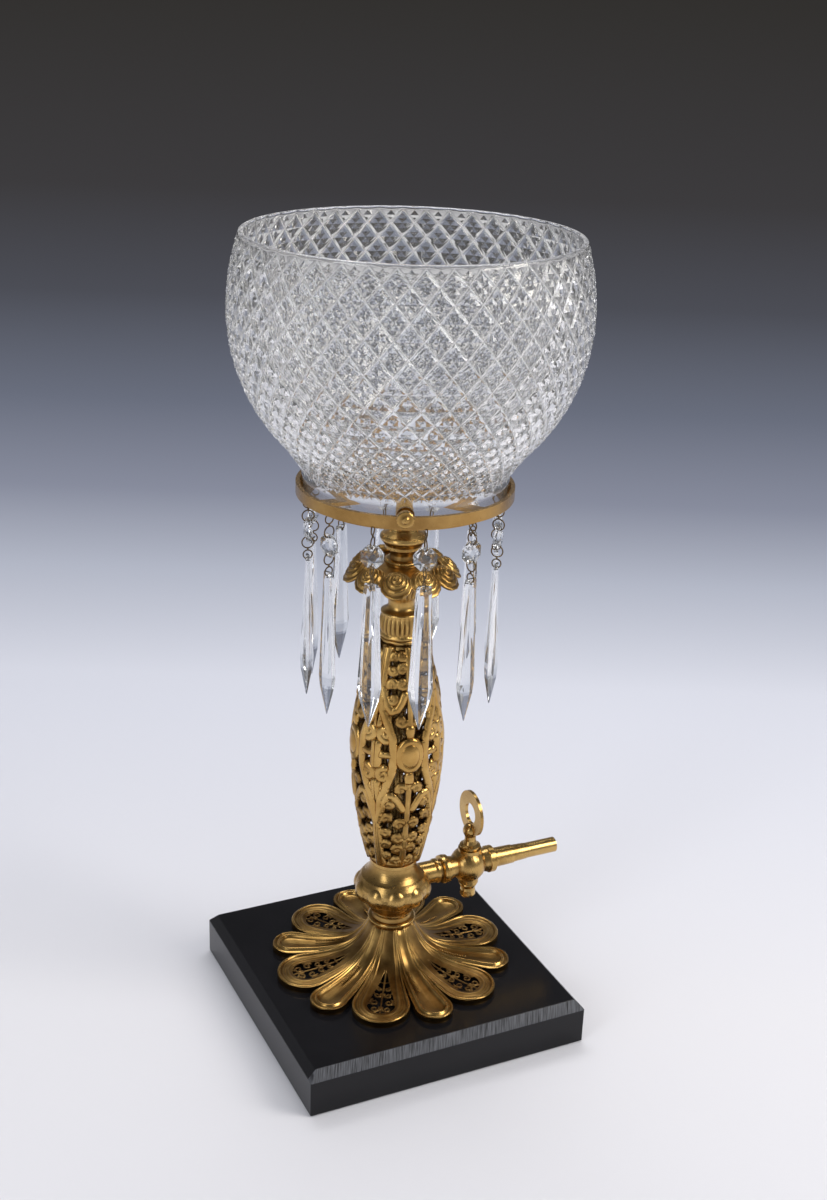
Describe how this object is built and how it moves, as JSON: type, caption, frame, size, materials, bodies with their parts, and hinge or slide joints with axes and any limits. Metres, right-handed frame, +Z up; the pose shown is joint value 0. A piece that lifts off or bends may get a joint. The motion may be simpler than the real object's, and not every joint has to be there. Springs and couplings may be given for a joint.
{
  "type": "gas table lamp",
  "caption": "gas table lamp with a slate base, a pierced brass stem, a side gas cock, twelve hanging glass prisms and a diamond-cut glass bowl",
  "frame": {"origin": "centre of the slate base's underside, where the stem's axis meets the table", "axes": "+Z is up the stem; +X is along the gas branch, out through the hose nozzle; +Y is to the left of the branch seen from above with +X to the right of it upwards"},
  "size_m": [0.2333, 0.2166, 0.525],
  "materials": {
    "slate": "black slate, polished, one chamfer left grey and matt",
    "cast_brass": "cast and chased brass, gilt on the high places and dark brown in the hollows",
    "turned_brass": "turned brass, lacquered and worn",
    "steel": "plain steel, not seen",
    "wire": "dull brass wire",
    "bowl_glass": "clear lead glass, cut all over with diamonds",
    "prism_glass": "clear lead glass, cut and polished",
    "steatite": "fired steatite"
  },
  "bodies": {
    "stand": {"base_slab": "slate", "base_washer": "steel", "base_nut": "steel", "tie_rod": "steel", "foot": "cast_brass", "neck_collar": "turned_brass", "knop": "cast_brass", "column": "cast_brass", "gas_pipe": "turned_brass", "capital": "cast_brass", "turned_cap": "turned_brass", "branch_nipple": "turned_brass", "cock_body": "turned_brass", "nozzle": "turned_brass", "shade_holder": "turned_brass", "burner_pillar": "turned_brass", "burner_tip": "steatite"},
    "cock": {"cock_plug": "turned_brass", "thumb_ring": "turned_brass", "plug_nut": "turned_brass"},
    "bowl": {"bowl": "bowl_glass"},
    "screw_1": {"shade_screw_1": "turned_brass"},
    "screw_2": {"shade_screw_2": "turned_brass"},
    "screw_3": {"shade_screw_3": "turned_brass"},
    "bead_1": {"bead_1": "prism_glass", "wires_1": "wire"},
    "prism_1": {"prism_1": "prism_glass"},
    "bead_2": {"bead_2": "prism_glass", "wires_2": "wire"},
    "prism_2": {"prism_2": "prism_glass"},
    "bead_3": {"bead_3": "prism_glass", "wires_3": "wire"},
    "prism_3": {"prism_3": "prism_glass"},
    "bead_4": {"bead_4": "prism_glass", "wires_4": "wire"},
    "prism_4": {"prism_4": "prism_glass"},
    "bead_5": {"bead_5": "prism_glass", "wires_5": "wire"},
    "prism_5": {"prism_5": "prism_glass"},
    "bead_6": {"bead_6": "prism_glass", "wires_6": "wire"},
    "prism_6": {"prism_6": "prism_glass"},
    "bead_7": {"bead_7": "prism_glass", "wires_7": "wire"},
    "prism_7": {"prism_7": "prism_glass"},
    "bead_8": {"bead_8": "prism_glass", "wires_8": "wire"},
    "prism_8": {"prism_8": "prism_glass"},
    "bead_9": {"bead_9": "prism_glass", "wires_9": "wire"},
    "prism_9": {"prism_9": "prism_glass"},
    "bead_10": {"bead_10": "prism_glass", "wires_10": "wire"},
    "prism_10": {"prism_10": "prism_glass"},
    "bead_11": {"bead_11": "prism_glass", "wires_11": "wire"},
    "prism_11": {"prism_11": "prism_glass"},
    "bead_12": {"bead_12": "prism_glass", "wires_12": "wire"},
    "prism_12": {"prism_12": "prism_glass"}
  },
  "joints": [
    {"name": "cock_turn", "type": "hinge", "parent": "stand", "child": "cock", "pos_m": [0.058, 0, 0.092], "axis": [0, 0, 1], "range_deg": [0, 90]},
    {"name": "bowl_lift", "type": "slide", "parent": "stand", "child": "bowl", "axis": [0, 0, 1], "range_m": [0, 0.07]},
    {"name": "screw_1_out", "type": "slide", "parent": "stand", "child": "screw_1", "axis": [0.9962, 0.0872, 0], "range_m": [0, 0.004]},
    {"name": "screw_2_out", "type": "slide", "parent": "stand", "child": "screw_2", "axis": [-0.5736, 0.8192, 0], "range_m": [0, 0.004]},
    {"name": "screw_3_out", "type": "slide", "parent": "stand", "child": "screw_3", "axis": [-0.4226, -0.9063, 0], "range_m": [0, 0.004]},
    {"name": "bead_1_swing", "type": "hinge", "parent": "stand", "child": "bead_1", "pos_m": [0.05728, 0.01751, 0.3662], "axis": [0.2924, -0.9563, 0], "range_deg": [-8, 20]},
    {"name": "prism_1_swing", "type": "hinge", "parent": "bead_1", "child": "prism_1", "pos_m": [0.05728, 0.01751, 0.3272], "axis": [0.2924, -0.9563, 0], "range_deg": [-8, 14]},
    {"name": "bead_2_swing", "type": "hinge", "parent": "stand", "child": "bead_2", "pos_m": [0.04085, 0.04381, 0.3662], "axis": [0.7314, -0.682, 0], "range_deg": [-8, 20]},
    {"name": "prism_2_swing", "type": "hinge", "parent": "bead_2", "child": "prism_2", "pos_m": [0.04085, 0.04381, 0.3272], "axis": [0.7314, -0.682, 0], "range_deg": [-8, 14]},
    {"name": "bead_3_swing", "type": "hinge", "parent": "stand", "child": "bead_3", "pos_m": [0.01348, 0.05837, 0.3662], "axis": [0.9744, -0.225, 0], "range_deg": [-8, 20]},
    {"name": "prism_3_swing", "type": "hinge", "parent": "bead_3", "child": "prism_3", "pos_m": [0.01348, 0.05837, 0.3272], "axis": [0.9744, -0.225, 0], "range_deg": [-8, 14]},
    {"name": "bead_4_swing", "type": "hinge", "parent": "stand", "child": "bead_4", "pos_m": [-0.01751, 0.05728, 0.3662], "axis": [0.9563, 0.2924, 0], "range_deg": [-8, 20]},
    {"name": "prism_4_swing", "type": "hinge", "parent": "bead_4", "child": "prism_4", "pos_m": [-0.01751, 0.05728, 0.3272], "axis": [0.9563, 0.2924, 0], "range_deg": [-8, 14]},
    {"name": "bead_5_swing", "type": "hinge", "parent": "stand", "child": "bead_5", "pos_m": [-0.04381, 0.04085, 0.3662], "axis": [0.682, 0.7314, 0], "range_deg": [-8, 20]},
    {"name": "prism_5_swing", "type": "hinge", "parent": "bead_5", "child": "prism_5", "pos_m": [-0.04381, 0.04085, 0.3272], "axis": [0.682, 0.7314, 0], "range_deg": [-8, 14]},
    {"name": "bead_6_swing", "type": "hinge", "parent": "stand", "child": "bead_6", "pos_m": [-0.05837, 0.01348, 0.3662], "axis": [0.225, 0.9744, 0], "range_deg": [-8, 20]},
    {"name": "prism_6_swing", "type": "hinge", "parent": "bead_6", "child": "prism_6", "pos_m": [-0.05837, 0.01348, 0.3272], "axis": [0.225, 0.9744, 0], "range_deg": [-8, 14]},
    {"name": "bead_7_swing", "type": "hinge", "parent": "stand", "child": "bead_7", "pos_m": [-0.05728, -0.01751, 0.3662], "axis": [-0.2924, 0.9563, 0], "range_deg": [-8, 20]},
    {"name": "prism_7_swing", "type": "hinge", "parent": "bead_7", "child": "prism_7", "pos_m": [-0.05728, -0.01751, 0.3272], "axis": [-0.2924, 0.9563, 0], "range_deg": [-8, 14]},
    {"name": "bead_8_swing", "type": "hinge", "parent": "stand", "child": "bead_8", "pos_m": [-0.04085, -0.04381, 0.3662], "axis": [-0.7314, 0.682, 0], "range_deg": [-8, 20]},
    {"name": "prism_8_swing", "type": "hinge", "parent": "bead_8", "child": "prism_8", "pos_m": [-0.04085, -0.04381, 0.3272], "axis": [-0.7314, 0.682, 0], "range_deg": [-8, 14]},
    {"name": "bead_9_swing", "type": "hinge", "parent": "stand", "child": "bead_9", "pos_m": [-0.01348, -0.05837, 0.3662], "axis": [-0.9744, 0.225, 0], "range_deg": [-8, 20]},
    {"name": "prism_9_swing", "type": "hinge", "parent": "bead_9", "child": "prism_9", "pos_m": [-0.01348, -0.05837, 0.3272], "axis": [-0.9744, 0.225, 0], "range_deg": [-8, 14]},
    {"name": "bead_10_swing", "type": "hinge", "parent": "stand", "child": "bead_10", "pos_m": [0.01751, -0.05728, 0.3662], "axis": [-0.9563, -0.2924, 0], "range_deg": [-8, 20]},
    {"name": "prism_10_swing", "type": "hinge", "parent": "bead_10", "child": "prism_10", "pos_m": [0.01751, -0.05728, 0.3272], "axis": [-0.9563, -0.2924, 0], "range_deg": [-8, 14]},
    {"name": "bead_11_swing", "type": "hinge", "parent": "stand", "child": "bead_11", "pos_m": [0.04381, -0.04085, 0.3662], "axis": [-0.682, -0.7314, 0], "range_deg": [-8, 20]},
    {"name": "prism_11_swing", "type": "hinge", "parent": "bead_11", "child": "prism_11", "pos_m": [0.04381, -0.04085, 0.3272], "axis": [-0.682, -0.7314, 0], "range_deg": [-8, 14]},
    {"name": "bead_12_swing", "type": "hinge", "parent": "stand", "child": "bead_12", "pos_m": [0.05837, -0.01348, 0.3662], "axis": [-0.225, -0.9744, 0], "range_deg": [-8, 20]},
    {"name": "prism_12_swing", "type": "hinge", "parent": "bead_12", "child": "prism_12", "pos_m": [0.05837, -0.01348, 0.3272], "axis": [-0.225, -0.9744, 0], "range_deg": [-8, 14]}
  ]
}
